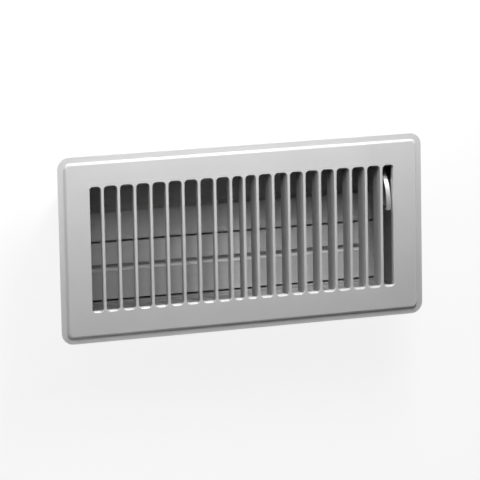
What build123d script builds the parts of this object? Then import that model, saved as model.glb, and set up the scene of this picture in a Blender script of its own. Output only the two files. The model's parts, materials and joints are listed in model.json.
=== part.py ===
from build123d import *
import os
from math import cos, floor, hypot, radians, sin, tan

# Floor register: stamped face grille, sheet metal can, two blade damper and a thumb lever.
# Millimetres. The origin is the centre of the flange underside, +Z points out of the face,
# X runs along the register and Y across it. The damper is modelled closed.

# Face grille, one stamping
face_length = 292.1
face_width = 139.7
face_corner = 9.0
face_sheet = 1.0
band_width = 4.3
step_run = 1.4
step_rise = 1.6
step_shoulder = 0.9
step_foot = 0.4
end_margin = 24.05
side_margin = 23.65
side_lip_bend = 2.0
end_lip_bend = 1.2
lip_depth = 4.5
pick_range = 0.01

# Bars across the window, each with a fin turned down from the sheet
fin_pitch = 12.7
first_fin = 10.7
end_slot_least = 8.0
fin_depth = 10.7
fin_lean = 10.5
first_fin_lean = 7.0
bar_width = 2.2
bar_edge = 0.3
slot_corner = 3.2
slot_overhang = 0.8
end_overhang = 0.6

# Can under the face
can_sheet = 0.8
can_clearance = 1.0
can_end_clearance = 2.0
can_flange = 9.0
can_depth = 45.0
can_bend = 1.2
ledge_width = 2.7
tab_length = 9.0
tab_top = 3.0
tab_height = 23.0

# Damper blades
blade_sheet = 0.8
blade_edge_gap = 1.6
blade_middle_gap = 1.6
blade_level = 29.5
blade_left_gap = 2.4
blade_right_gap = 4.9
bead_radius = 2.6
bead_end = 7.0
ear_half_width = 8.0
ear_bend = 1.0
ear_round = 3.8
ear_relief = 0.8
ear_stand_off = 0.4

# Pivots and linkage
pivot_offset = 2.4
pivot_radius = 2.0
pivot_shoulder = 3.0
pivot_peen = 2.6
peen_gap = 0.2
pivot_head = 3.6
head_height = 1.0
running_clearance = 0.05
end_play = 0.3
damper_swing = 78.0
crank_radius = 8.0
crank_round = 3.5
link_width = 5.0
link_sheet = 1.0
link_wall_gap = 2.0
link_pin_radius = 1.5
link_pin_shoulder = 2.25
open_pivot_clearance = 0.3

# Thumb lever
lever_sheet = 1.2
lever_width = 4.1
lever_radius = 30.5
lever_sink = 2.1
lever_wall_gap = 1.5
lever_tip_angle = -12.0
lever_heel_angle = 70.0
lever_fold = 3.0
lever_hub = 5.0
lever_edge = 0.8
lever_rivet_radius = 1.25
lever_rivet_head = 2.2
lever_rivet_first = 7.0
lever_rivet_spacing = 5.4
washer_radius = 4.2
washer_sheet = 0.25

# Levels and places worked out from the sizes above
face_top = face_sheet + step_rise
face_under = step_rise
sheet_middle = face_top - face_sheet / 2
window_length = face_length - 2 * end_margin
window_width = face_width - 2 * side_margin
fins_each_side = 1 + floor((window_length / 2 - first_fin - end_slot_least) / fin_pitch)
can_half_length = window_length / 2 + face_sheet + can_end_clearance
can_half_width = window_width / 2 + face_sheet + can_clearance
neck_half_width = can_half_width - ledge_width
side_half_length = can_half_length - can_bend + can_sheet / 2
blade_top = -blade_level
pivot_z = blade_top - blade_sheet / 2 - ear_bend - pivot_peen - peen_gap
blade_width = neck_half_width - blade_edge_gap - blade_middle_gap / 2
blade_pitch = blade_width + blade_middle_gap
blade_short_side = blade_width / 2 - pivot_offset
blade_long_side = blade_width / 2 + pivot_offset
pivot_rear_y = blade_pitch / 2 + pivot_offset
pivot_front_y = pivot_rear_y - blade_pitch
blade_left = -can_half_length + blade_left_gap
blade_right = can_half_length - blade_right_gap
bead_left = blade_left + bead_end
bead_right = blade_right - bead_end
crank_start = radians(damper_swing / 2)
crank_y = -crank_radius * sin(crank_start)
crank_z = -crank_radius * cos(crank_start)
link_x = can_half_length - link_wall_gap - link_sheet
lever_centre_y = can_half_width - lever_wall_gap - lever_radius * sin(radians(lever_heel_angle))
lever_centre_z = face_top - lever_sink - lever_radius
lever_rivet_places = (lever_rivet_first, lever_rivet_first + lever_rivet_spacing)

os.makedirs("parts", exist_ok=True)


def save(builder, label):
    """Name a finished piece and write it."""
    builder.part.label = label
    export_step(builder.part, f"parts/{label}.step")


def fin_places():
    """Centre line and lean in degrees of each bar, from left to right."""
    for number in range(-fins_each_side, fins_each_side + 1):
        side = (number > 0) - (number < 0)
        place = side * (first_fin + fin_pitch * (abs(number) - 1))
        lean = first_fin_lean if abs(number) == 1 else fin_lean
        yield place, side * lean


# Face grille
step_slope = hypot(step_run, step_rise)
under_shift = face_sheet * (step_slope - step_run) / step_rise
bar_sides = [place + side * bar_width / 2 for place, lean in fin_places() for side in (-1, 1)]
end_side = window_length / 2 + end_overhang
slot_sides = [-end_side] + bar_sides + [end_side]

with BuildPart() as face_grille:
    with BuildSketch():
        RectangleRounded(face_length, face_width, face_corner)
    extrude(amount=face_sheet)

    # Raised panel on the flat band
    for level, inset in ((face_sheet, band_width), (face_top, band_width + step_run)):
        with BuildSketch(Plane.XY.offset(level)):
            RectangleRounded(face_length - 2 * inset, face_width - 2 * inset, face_corner - inset)
    loft()
    fillet(face_grille.faces().sort_by(Axis.Z)[-1].edges(), step_shoulder)
    foot = face_grille.edges().filter_by_position(Axis.Z, face_sheet - pick_range, face_sheet + pick_range)
    fillet(foot.filter_by(lambda edge: edge.bounding_box().max.Y < face_width / 2 - band_width / 2
                          and edge.bounding_box().min.Y > band_width / 2 - face_width / 2
                          and edge.bounding_box().max.X < face_length / 2 - band_width / 2
                          and edge.bounding_box().min.X > band_width / 2 - face_length / 2), step_foot)

    # Hollow under the raised panel, one sheet thickness below its top
    for level, inset in ((0, band_width + under_shift), (face_under, band_width + step_run + under_shift)):
        with BuildSketch(Plane.XY.offset(level)):
            RectangleRounded(face_length - 2 * inset, face_width - 2 * inset, face_corner - inset)
    loft(mode=Mode.SUBTRACT)

    # Slots between the bars
    with BuildSketch(Plane.XY.offset(face_top)):
        for left, right in zip(slot_sides[0::2], slot_sides[1::2]):
            with Locations(((left + right) / 2, 0)):
                RectangleRounded(right - left, window_width + 2 * slot_overhang, slot_corner)
    extrude(amount=-2 * face_sheet, mode=Mode.SUBTRACT)
    slot_rims = face_grille.faces().sort_by(Axis.Z)[-1].inner_wires()
    chamfer([edge for rim in slot_rims for edge in rim.edges()], bar_edge)

    # Lips drawn down along the sides and ends of the window
    for plane, reach, bend, half_run in (
            (Plane.YZ, window_width / 2, side_lip_bend, window_length / 2 + end_lip_bend),
            (Plane.XZ, window_length / 2, end_lip_bend, window_width / 2 + face_sheet)):
        for side in (1, -1):
            lip = side * (reach + face_sheet / 2)
            with BuildSketch(plane):
                with BuildLine():
                    FilletPolyline((lip + side * 2 * bend, sheet_middle), (lip, sheet_middle),
                                   (lip, face_top - lip_depth), radius=bend - face_sheet / 2)
                trace(line_width=face_sheet)
            extrude(amount=half_run, both=True)

    # Fin turned down from each bar
    with BuildSketch(Plane.XZ):
        tip_z = face_top - fin_depth
        for place, lean in fin_places():
            half = face_sheet / 2 / cos(radians(lean))
            tip = place - (sheet_middle - tip_z) * tan(radians(lean))
            Polygon((place - half, sheet_middle), (tip - half, tip_z), (tip + half, tip_z),
                    (place + half, sheet_middle), align=None)
    extrude(amount=window_width / 2 + face_sheet / 2, both=True)
save(face_grille, "face_grille")


# Can: two long walls with a ledge at the blades' level, and two end walls with tabs
def can_side(side, label):
    """Long wall on the +Y (side 1) or -Y (side -1) side, folded from one strip."""
    wall_y = side * (can_half_width + can_sheet / 2)
    neck_y = side * (neck_half_width + can_sheet / 2)
    flange_z = face_under - can_sheet / 2
    ledge_z = blade_top - can_sheet / 2
    with BuildPart() as wall:
        with BuildSketch(Plane.YZ):
            with BuildLine():
                FilletPolyline((wall_y + side * can_flange, flange_z), (wall_y, flange_z), (wall_y, ledge_z),
                               (neck_y, ledge_z), (neck_y, -can_depth), radius=can_bend)
            trace(line_width=can_sheet)
        extrude(amount=side_half_length, both=True)
    save(wall, label)


def can_end(side, label):
    """End wall on the +X (side 1) or -X (side -1) side, with its tabs and pivot holes."""
    wall_x = side * (can_half_length + can_sheet / 2)
    flange_z = face_under - can_sheet / 2
    tab_y = can_half_width + can_sheet * 3 / 2
    tab_x = side * (can_half_length - tab_length)
    with BuildPart() as wall:
        with BuildSketch(Plane.XZ):
            with BuildLine():
                FilletPolyline((wall_x + side * can_flange, flange_z), (wall_x, flange_z), (wall_x, -can_depth),
                               radius=can_bend)
            trace(line_width=can_sheet)
        extrude(amount=neck_half_width + can_sheet, both=True)
        with BuildSketch(Plane.XY.offset(-tab_top)):
            with BuildLine():
                FilletPolyline((tab_x, tab_y), (wall_x, tab_y), (wall_x, -tab_y), (tab_x, -tab_y),
                               radius=can_bend)
            trace(line_width=can_sheet)
        extrude(amount=-tab_height)
        with BuildSketch(Plane.YZ):
            with Locations((pivot_rear_y, pivot_z), (pivot_front_y, pivot_z)):
                Circle(pivot_radius + running_clearance)
        extrude(amount=side * 2 * can_half_length, mode=Mode.SUBTRACT)
    save(wall, label)


can_side(1, "can_side_rear")
can_side(-1, "can_side_front")
can_end(-1, "can_end_left")
can_end(1, "can_end_right")


# Damper blades: a beaded sheet with an ear folded down at each end
def damper_blade(pivot_y, lever_carrier, label):
    """Blade that turns about a line along X. The right ear is also the crank."""
    blade_middle = blade_top - blade_sheet / 2
    sheet_y = pivot_y + (blade_short_side - blade_long_side) / 2
    crank_end = (pivot_y + crank_y, pivot_z + crank_z)
    rivet_places = [(pivot_y + along, pivot_z) for along in lever_rivet_places] if lever_carrier else []
    with BuildPart() as blade:
        with BuildSketch(Plane.XY.offset(blade_top)):
            with Locations(((blade_left + blade_right) / 2, sheet_y)):
                Rectangle(blade_right - blade_left - 2 * ear_stand_off, blade_short_side + blade_long_side)
            with Locations((blade_left, pivot_y), (blade_right, pivot_y)):
                Rectangle(2 * (ear_bend + blade_sheet), 2 * (ear_half_width + ear_relief), mode=Mode.SUBTRACT)
        extrude(amount=-blade_sheet)

        # Ears
        for end, inward in ((blade_left, 1), (blade_right, -1)):
            ear_middle = end + inward * blade_sheet / 2
            with BuildSketch(Plane.XZ.offset(-pivot_y)):
                with BuildLine():
                    FilletPolyline((end + inward * 3 * ear_bend, blade_middle), (ear_middle, blade_middle),
                                   (ear_middle, pivot_z), radius=ear_bend)
                trace(line_width=blade_sheet)
            extrude(amount=ear_half_width, both=True)
            with BuildSketch(Plane.YZ.offset(end)):
                with BuildLine():
                    CenterArc((pivot_y, pivot_z), ear_round, 0, 360)
                    Line((pivot_y - ear_half_width, pivot_z), (pivot_y + ear_half_width, pivot_z))
                    if end == blade_right:
                        CenterArc(crank_end, crank_round, 0, 360)
                        for place in rivet_places:
                            CenterArc(place, crank_round, 0, 360)
                make_hull()
            extrude(amount=inward * blade_sheet)

        # Bead along the pivot line, pressed away from the face
        for radius, mode in ((bead_radius + blade_sheet, Mode.ADD), (bead_radius, Mode.SUBTRACT)):
            with BuildSketch(Plane.XY.offset(blade_top)):
                with BuildLine():
                    Line((bead_left - radius, pivot_y), (bead_right + radius, pivot_y))
                    CenterArc((bead_right, pivot_y), radius, 0, 90)
                    Line((bead_right, pivot_y + radius), (bead_left, pivot_y + radius))
                    CenterArc((bead_left, pivot_y), radius, 90, 90)
                make_face()
            revolve(axis=Axis((0, pivot_y, blade_top), (-1, 0, 0)), revolution_arc=180, mode=mode)

        # Holes for the pivots, the link pin and the lever's rivets
        with BuildSketch(Plane.YZ.offset(blade_left)):
            with Locations((pivot_y, pivot_z)):
                Circle(pivot_radius + running_clearance)
        extrude(amount=blade_sheet, mode=Mode.SUBTRACT)
        with BuildSketch(Plane.YZ.offset(blade_right)):
            with Locations((pivot_y, pivot_z)):
                Circle(pivot_radius + running_clearance)
            with Locations(crank_end):
                Circle(link_pin_radius + running_clearance)
            for place in rivet_places:
                with Locations(place):
                    Circle(lever_rivet_radius + running_clearance)
        extrude(amount=-blade_sheet, mode=Mode.SUBTRACT)
    save(blade, label)


damper_blade(pivot_rear_y, True, "damper_blade_rear")
damper_blade(pivot_front_y, False, "damper_blade_front")


# Thumb lever: a flat web on the rear blade's ear, with a rim bent inward along its edge
def rim_point(radius, angle):
    """Point on a circle about the rim's centre, with the angle taken from +Z towards +Y."""
    turn = radians(angle)
    return (lever_centre_y + radius * sin(turn), lever_centre_z + radius * cos(turn))


rim_inner = lever_radius - lever_sheet
rim_sheet_angle = lever_sheet / lever_radius / radians(1)
rim_middle_angle = (lever_tip_angle + lever_heel_angle) / 2

with BuildPart() as thumb_lever:
    with BuildSketch(Plane.YZ.offset(blade_right + lever_sheet)):
        with BuildLine():
            ThreePointArc(rim_point(lever_radius, lever_tip_angle), rim_point(lever_radius, rim_middle_angle),
                          rim_point(lever_radius, lever_heel_angle))
            Polyline(rim_point(lever_radius, lever_heel_angle),
                     rim_point(lever_radius - lever_fold, lever_heel_angle),
                     rim_point(lever_radius - lever_fold, lever_heel_angle - rim_sheet_angle),
                     rim_point(rim_inner, lever_heel_angle - rim_sheet_angle))
            ThreePointArc(rim_point(rim_inner, lever_heel_angle - rim_sheet_angle),
                          rim_point(rim_inner, rim_middle_angle),
                          rim_point(rim_inner, lever_tip_angle + rim_sheet_angle))
            Polyline(rim_point(rim_inner, lever_tip_angle + rim_sheet_angle),
                     rim_point(lever_radius - lever_fold, lever_tip_angle + rim_sheet_angle),
                     rim_point(lever_radius - lever_fold, lever_tip_angle),
                     rim_point(lever_radius, lever_tip_angle))
        make_face()
    extrude(amount=-lever_width)
    with BuildSketch(Plane.YZ.offset(blade_right)):
        with BuildLine():
            ThreePointArc(rim_point(rim_inner, lever_tip_angle), rim_point(rim_inner, rim_middle_angle),
                          rim_point(rim_inner, lever_heel_angle))
            CenterArc((pivot_rear_y, pivot_z), lever_hub, 0, 360)
            for along in lever_rivet_places:
                CenterArc((pivot_rear_y + along, pivot_z), crank_round, 0, 360)
        make_hull()
        with Locations((pivot_rear_y, pivot_z)):
            Circle(pivot_radius + running_clearance, mode=Mode.SUBTRACT)
        for along in lever_rivet_places:
            with Locations((pivot_rear_y + along, pivot_z)):
                Circle(lever_rivet_radius + running_clearance, mode=Mode.SUBTRACT)
    extrude(amount=lever_sheet)
    bend = thumb_lever.edges().filter_by(GeomType.CIRCLE).group_by(Axis.X)[-1]
    fillet(bend.filter_by(lambda edge: abs(edge.radius - lever_radius) < pick_range), lever_edge)
save(thumb_lever, "thumb_lever")


# Rivets and pins, all turned about lines along X
def stepped_pin(y, z, steps, label):
    """Pin made of cylinders, each given as start and end along X and radius."""
    with BuildPart() as pin:
        for start, end, radius in steps:
            with BuildSketch(Plane.YZ.offset(start)):
                with Locations((y, z)):
                    Circle(radius)
            extrude(amount=end - start)
    save(pin, label)


def pivot_rivet(side, y, ear_near, ear_far, label):
    """Rivet headed outside an end wall, with a shoulder inside it and a peened end past the ear."""
    outside = can_half_length + can_sheet
    shoulder_end = ear_near + end_play
    peen_start = ear_far - end_play
    steps = [(side * outside, side * (outside + head_height), pivot_head),
             (side * can_half_length, side * outside, pivot_radius),
             (side * shoulder_end, side * can_half_length, pivot_shoulder),
             (side * peen_start, side * shoulder_end, pivot_radius),
             (side * (peen_start - head_height), side * peen_start, pivot_peen)]
    stepped_pin(y, pivot_z, steps, label)


left_ear = -blade_left
washer_gap = lever_sheet + washer_sheet
pivot_rivet(-1, pivot_rear_y, left_ear, left_ear - blade_sheet, "pivot_rivet_left_rear")
pivot_rivet(-1, pivot_front_y, left_ear, left_ear - blade_sheet, "pivot_rivet_left_front")
pivot_rivet(1, pivot_rear_y, blade_right + washer_gap, blade_right - blade_sheet, "pivot_rivet_right_rear")
pivot_rivet(1, pivot_front_y, blade_right, blade_right - blade_sheet, "pivot_rivet_right_front")

# Spring washer between the lever and the shoulder of its pivot
washer_x = blade_right + lever_sheet + end_play / 2
with BuildPart() as friction_washer:
    with BuildSketch(Plane.YZ.offset(washer_x)):
        with Locations((pivot_rear_y, pivot_z)):
            Circle(washer_radius)
            Circle(pivot_radius + running_clearance, mode=Mode.SUBTRACT)
    extrude(amount=washer_sheet)
save(friction_washer, "friction_washer")

# Rivets through the lever and the rear blade's ear
with BuildPart() as lever_rivets:
    ear_face = blade_right - blade_sheet
    lever_face = blade_right + lever_sheet
    for along in lever_rivet_places:
        for start, end, radius in ((ear_face - head_height, ear_face, lever_rivet_head),
                                   (ear_face, lever_face, lever_rivet_radius),
                                   (lever_face, lever_face + head_height, lever_rivet_head)):
            with BuildSketch(Plane.YZ.offset(start)):
                with Locations((pivot_rear_y + along, pivot_z)):
                    Circle(radius)
            extrude(amount=end - start)
save(lever_rivets, "lever_rivets")

# Link bar between the two cranks. Its front hole is the open pivot of the linkage.
with BuildPart() as link_bar:
    with BuildSketch(Plane.YZ.offset(link_x)):
        with Locations(((pivot_rear_y + pivot_front_y) / 2 + crank_y, pivot_z + crank_z)):
            SlotCenterToCenter(blade_pitch, link_width)
        with Locations((pivot_rear_y + crank_y, pivot_z + crank_z)):
            Circle(link_pin_radius + running_clearance, mode=Mode.SUBTRACT)
        with Locations((pivot_front_y + crank_y, pivot_z + crank_z)):
            Circle(link_pin_radius + open_pivot_clearance, mode=Mode.SUBTRACT)
    extrude(amount=link_sheet)
save(link_bar, "link_bar")


def link_pin(pivot_y, label):
    """Shoulder rivet that carries the link bar at a crank's end."""
    ear_inner = blade_right - blade_sheet
    shoulder_end = link_x - running_clearance
    peen_start = link_x + link_sheet + running_clearance
    steps = [(ear_inner - head_height, ear_inner, link_pin_shoulder),
             (ear_inner, blade_right, link_pin_radius),
             (blade_right, shoulder_end, link_pin_shoulder),
             (shoulder_end, peen_start, link_pin_radius),
             (peen_start, peen_start + head_height, link_pin_shoulder)]
    stepped_pin(pivot_y + crank_y, pivot_z + crank_z, steps, label)


link_pin(pivot_rear_y, "link_pin_rear")
link_pin(pivot_front_y, "link_pin_front")
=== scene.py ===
import json

import bpy
from mathutils import Matrix, Vector


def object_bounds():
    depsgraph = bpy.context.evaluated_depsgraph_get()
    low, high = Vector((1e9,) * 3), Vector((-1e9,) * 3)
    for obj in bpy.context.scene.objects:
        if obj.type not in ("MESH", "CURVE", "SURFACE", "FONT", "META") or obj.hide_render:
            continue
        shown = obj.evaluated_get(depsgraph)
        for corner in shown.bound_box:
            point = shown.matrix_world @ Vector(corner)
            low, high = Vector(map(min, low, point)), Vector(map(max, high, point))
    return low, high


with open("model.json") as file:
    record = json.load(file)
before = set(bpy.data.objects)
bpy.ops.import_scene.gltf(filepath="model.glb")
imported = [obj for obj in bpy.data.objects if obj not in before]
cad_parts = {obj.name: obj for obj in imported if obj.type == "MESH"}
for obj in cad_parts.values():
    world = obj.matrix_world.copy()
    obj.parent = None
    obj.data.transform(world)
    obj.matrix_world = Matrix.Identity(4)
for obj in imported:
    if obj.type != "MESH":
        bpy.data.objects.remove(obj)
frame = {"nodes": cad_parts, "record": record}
cad_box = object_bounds()

# Camera, in the frame's metres: where it stands, the point it aims at and its upward direction
IMAGE_PIXELS = 480
FOCAL_PIXELS = 3300
SENSOR_MM = 36.0
EYE = Vector((-0.89003, 0.40457, 2.28163))
AIM = Vector((-0.00313, -0.00193, -0.00027))
UP = Vector((0.0772, 0.9863, -0.1457))

# Lamps, aimed at the middle of the face: name, place, size along and across, power in watts.
# The keys stand behind the register. The low lamps stay below the flange, so they light the can
# and the steps of the face, but not the panel or what is under the slots.
LAMPS = (
    ("key_near", Vector((0.10, 0.40, 0.19)), (0.07, 0.18), 2.0),
    ("key_far", Vector((0.22, 0.71, 0.50)), (0.20, 0.50), 4.3),
    ("left_fill", Vector((-0.31, 0.18, 0.17)), (0.20, 0.20), 0.46),
    ("near_fill", Vector((-0.06, 0.25, 0.20)), (0.25, 0.12), 0.38),
    ("front_fill", Vector((-0.40, -0.28, 0.20)), (0.25, 0.20), 0.17),
    ("low_front", Vector((0.0, -0.60, -0.02)), (0.60, 0.02), 0.75),
    ("low_right", Vector((0.65, 0.0, -0.02)), (0.40, 0.02), 0.8),
    ("low_left", Vector((-0.65, 0.0, -0.02)), (0.40, 0.02), 0.45),
)

# Room, and the grey wall that shiny surfaces mirror: it brightens as their rays turn to the rear
ROOM_STRENGTH = 0.005
WALL_GREY = 0.8
WALL_TURN = (-0.35, 0.65)
WALL_STRENGTH = (0.30, 0.95)

# Floor. The share is how much of what is seen of it is a plain white glow. The glow leaves out the
# footprint of the can, whose half sizes here reach just past its walls.
FLOOR_SIDE = 6.0
FLOOR_GREY = 0.9
FLOOR_ROUGHNESS = 0.9
FLOOR_SHARE = 0.86
GLOW_STRENGTH = 1.0
CAN_HALF_LENGTH = 0.126
CAN_HALF_WIDTH = 0.047

# Finishes. A noise's scale is per metre, before a finish stretches it, and each finish spreads its
# own range over the same span of the noise.
MOTTLE = {"scale": 26.0, "detail": 4.0}
PEEL = {"scale": 1100.0, "detail": 2.0}
MARKS = {"scale": 60.0, "detail": 6.0}
NOISE_ROUGHNESS = 0.55
NOISE_SPAN = (0.3, 0.7)
PEEL_BUMP = {"Strength": 0.06, "Distance": 0.0004}
MARKS_BUMP = {"Strength": 0.08, "Distance": 0.0002}
UNSTRETCHED = (1, 1, 1)
ROUGHNESS_SPREAD = 0.05
# Depth below the floor line over which painted shade darkens the face's colour on the fins
PAINTED_SHADE_DEPTH = 0.003


def feed(tree, socket, value):
    """Link an input to another node's output, or set its value."""
    if isinstance(value, bpy.types.NodeSocket):
        tree.links.new(value, socket)
    else:
        socket.default_value = value


def node(tree, kind, *values, **settings):
    """Add a node. Settings go to it or to its inputs by name, and values to its inputs in order."""
    made = tree.nodes.new(kind)
    for name, value in settings.items():
        if name in made.inputs:
            feed(tree, made.inputs[name], value)
        else:
            setattr(made, name, value)
    for socket, value in zip(made.inputs, values):
        feed(tree, socket, value)
    return made


def math_node(tree, operation, *values):
    """The result of one operation on numbers and other nodes' outputs."""
    return node(tree, "ShaderNodeMath", *values, operation=operation).outputs[0]


def along(tree, vector, axis):
    """One coordinate of a vector."""
    return node(tree, "ShaderNodeSeparateXYZ", Vector=vector).outputs[axis]


def remap(tree, value, source, target):
    """Map numbers from one (start, end) range to another, and hold them inside it."""
    ends = {"From Min": source[0], "From Max": source[1], "To Min": target[0], "To Max": target[1]}
    return node(tree, "ShaderNodeMapRange", Value=value, **ends).outputs["Result"]


def grey(level):
    """A neutral colour."""
    return (level, level, level, 1)


def new_material(name):
    """A material with a single principled shader, as (material, node tree, shader)."""
    material = bpy.data.materials.new(name)
    material.use_nodes = True
    tree = material.node_tree
    return material, tree, tree.nodes["Principled BSDF"]


def place_noise(tree, stretch, scale, detail):
    """Noise over the object's own metres, stretched along its axes."""
    where = node(tree, "ShaderNodeTexCoord").outputs["Object"]
    mapped = node(tree, "ShaderNodeMapping", Vector=where, Scale=stretch).outputs["Vector"]
    grain = {"Scale": scale, "Detail": detail, "Roughness": NOISE_ROUGHNESS}
    return node(tree, "ShaderNodeTexNoise", Vector=mapped, **grain).outputs["Fac"]


def grey_mix(tree, noise, greys):
    """A neutral colour that follows a noise from the darker to the lighter of two greys."""
    dark, light = greys
    factor = remap(tree, noise, NOISE_SPAN, (0.0, 1.0))
    mix = node(tree, "ShaderNodeMix", data_type="RGBA", A=grey(dark), B=grey(light), Factor=factor)
    return mix.outputs["Result"]


def painted_shade_below(tree, colour, share):
    """Painted shade: darken a colour to a share of itself on what hangs below the floor line."""
    height = along(tree, node(tree, "ShaderNodeTexCoord").outputs["Object"], "Z")
    shade_factor = remap(tree, height, (-PAINTED_SHADE_DEPTH, 0.0), (share, 1.0))
    shaded = node(tree, "ShaderNodeVectorMath", operation="SCALE", Vector=colour, Scale=shade_factor)
    return shaded.outputs["Vector"]


def dress(tree, shader, colour, roughness, bump):
    """Give a shader its colour, its roughness and the normal of a bump node."""
    feed(tree, shader.inputs["Base Color"], colour)
    feed(tree, shader.inputs["Roughness"], roughness)
    feed(tree, shader.inputs["Normal"], bump.outputs["Normal"])


def enamel(name, greys, roughness, stretch, shine=0.5, shade_share=None):
    """Baked enamel on sheet steel: faint mottling, uneven gloss and a fine orange peel."""
    material, tree, shader = new_material(name)
    mottle = place_noise(tree, stretch, **MOTTLE)
    peel = place_noise(tree, UNSTRETCHED, **PEEL)
    colour = grey_mix(tree, mottle, greys)
    # Painted shade: a darker colour on the fins below the floor line, when a share is given
    if shade_share:
        colour = painted_shade_below(tree, colour, shade_share)
    uneven = (roughness + ROUGHNESS_SPREAD, roughness - ROUGHNESS_SPREAD)
    bump = node(tree, "ShaderNodeBump", Height=peel, **PEEL_BUMP)
    dress(tree, shader, colour, remap(tree, mottle, NOISE_SPAN, uneven), bump)
    shader.inputs["Specular IOR Level"].default_value = shine
    return material


def bare_metal(name, greys, roughness, stretch):
    """Plated or plain steel with drawing marks along one direction."""
    material, tree, shader = new_material(name)
    marks = place_noise(tree, stretch, **MARKS)
    colour = grey_mix(tree, marks, greys)
    bump = node(tree, "ShaderNodeBump", Height=marks, **MARKS_BUMP)
    dress(tree, shader, colour, remap(tree, marks, NOISE_SPAN, roughness), bump)
    shader.inputs["Metallic"].default_value = 1.0
    return material


def paint_nodes():
    """Give every node the finish of its material slot."""
    finishes = {
        # The face's colour carries painted shade, darker on the fins below the floor line
        "face_paint": enamel(
            "face_enamel", greys=(0.485, 0.515), roughness=0.36, stretch=UNSTRETCHED, shade_share=0.74
        ),
        "can_paint": enamel(
            "can_enamel", greys=(0.25, 0.30), roughness=0.45, stretch=(0.15, 1, 1), shine=0.1
        ),
        "blade_paint": enamel(
            "blade_enamel", greys=(0.45, 0.51), roughness=0.42, stretch=(0.1, 3, 3), shine=0.1
        ),
        "bright_plate": bare_metal(
            "bright_plating", greys=(0.80, 0.88), roughness=(0.24, 0.34), stretch=(8, 0.6, 0.6)
        ),
        "rivet_steel": bare_metal(
            "plain_steel", greys=(0.42, 0.55), roughness=(0.30, 0.45), stretch=(1, 6, 6)
        ),
    }
    for part in frame["record"]["subparts"]:
        slots = frame["nodes"][part["node"]].data.materials
        slots.clear()
        slots.append(finishes[part["material_slot"]])


def outside_can(tree):
    """1 on the floor outside the footprint of the can, and 0 inside it."""
    place = node(tree, "ShaderNodeNewGeometry").outputs["Position"]
    beyond = []
    for axis, limit in (("X", CAN_HALF_LENGTH), ("Y", CAN_HALF_WIDTH)):
        distance = math_node(tree, "ABSOLUTE", along(tree, place, axis))
        beyond.append(math_node(tree, "GREATER_THAN", distance, limit))
    return math_node(tree, "MAXIMUM", *beyond)


def white_floor():
    """Pale floor under the can. The camera sees it near white, with the shadow still on it."""
    bpy.ops.mesh.primitive_plane_add(size=FLOOR_SIDE, location=(0, 0, cad_box[0].z))
    floor = bpy.context.object
    floor.name = "floor"
    material, tree, shader = new_material("floor_white")
    shader.inputs["Base Color"].default_value = grey(FLOOR_GREY)
    shader.inputs["Roughness"].default_value = FLOOR_ROUGHNESS
    glow = node(tree, "ShaderNodeEmission", Strength=GLOW_STRENGTH)
    rays = node(tree, "ShaderNodeLightPath").outputs
    seen = math_node(tree, "MAXIMUM", rays["Is Camera Ray"], rays["Is Glossy Ray"])
    seen = math_node(tree, "MAXIMUM", seen, rays["Is Transmission Ray"])
    share = math_node(tree, "MULTIPLY", outside_can(tree), FLOOR_SHARE)
    share = math_node(tree, "MULTIPLY", seen, share)
    mix = node(tree, "ShaderNodeMixShader", share, shader.outputs["BSDF"], glow.outputs["Emission"])
    feed(tree, tree.nodes["Material Output"].inputs["Surface"], mix.outputs["Shader"])
    floor.data.materials.append(material)


def studio_world():
    """Dim room, seen as white. Mirrored rays see a wall that grows brighter from front to rear."""
    world = bpy.data.worlds.new("studio")
    bpy.context.scene.world = world
    world.use_nodes = True
    tree = world.node_tree
    rays = node(tree, "ShaderNodeLightPath").outputs
    seen = math_node(tree, "MAXIMUM", rays["Is Camera Ray"], rays["Is Transmission Ray"])
    room = tree.nodes["Background"]
    feed(tree, room.inputs["Color"], grey(1))
    feed(tree, room.inputs["Strength"], math_node(tree, "MAXIMUM", seen, ROOM_STRENGTH))
    rearward = along(tree, node(tree, "ShaderNodeTexCoord").outputs["Generated"], "Y")
    strength = remap(tree, rearward, WALL_TURN, WALL_STRENGTH)
    wall = node(tree, "ShaderNodeBackground", Color=grey(WALL_GREY), Strength=strength)
    views = (room.outputs["Background"], wall.outputs["Background"])
    mix = node(tree, "ShaderNodeMixShader", rays["Is Glossy Ray"], *views)
    feed(tree, tree.nodes["World Output"].inputs["Surface"], mix.outputs["Shader"])


def soft_lamp(name, place, size, power):
    """Rectangular soft box aimed at the middle of the face."""
    data = bpy.data.lights.new(name, "AREA")
    data.shape = "RECTANGLE"
    data.size, data.size_y = size
    data.energy = power
    lamp = bpy.data.objects.new(name, data)
    lamp.location = place
    lamp.visible_camera = False
    lamp.rotation_mode = "QUATERNION"
    lamp.rotation_quaternion = (-place).to_track_quat("-Z", "Y")
    bpy.context.scene.collection.objects.link(lamp)


def photo_camera():
    """Camera at the photograph's angle."""
    back = (EYE - AIM).normalized()
    right = UP.cross(back).normalized()
    data = bpy.data.cameras.new("camera")
    data.sensor_width = SENSOR_MM
    data.lens = FOCAL_PIXELS * SENSOR_MM / IMAGE_PIXELS
    camera = bpy.data.objects.new("camera", data)
    axes = Matrix((right, back.cross(right), back)).transposed().to_4x4()
    camera.matrix_world = Matrix.Translation(EYE) @ axes
    bpy.context.scene.collection.objects.link(camera)
    bpy.context.scene.camera = camera


paint_nodes()
white_floor()
studio_world()
for lamp in LAMPS:
    soft_lamp(*lamp)
photo_camera()
bpy.context.scene.view_settings.view_transform = "Standard"
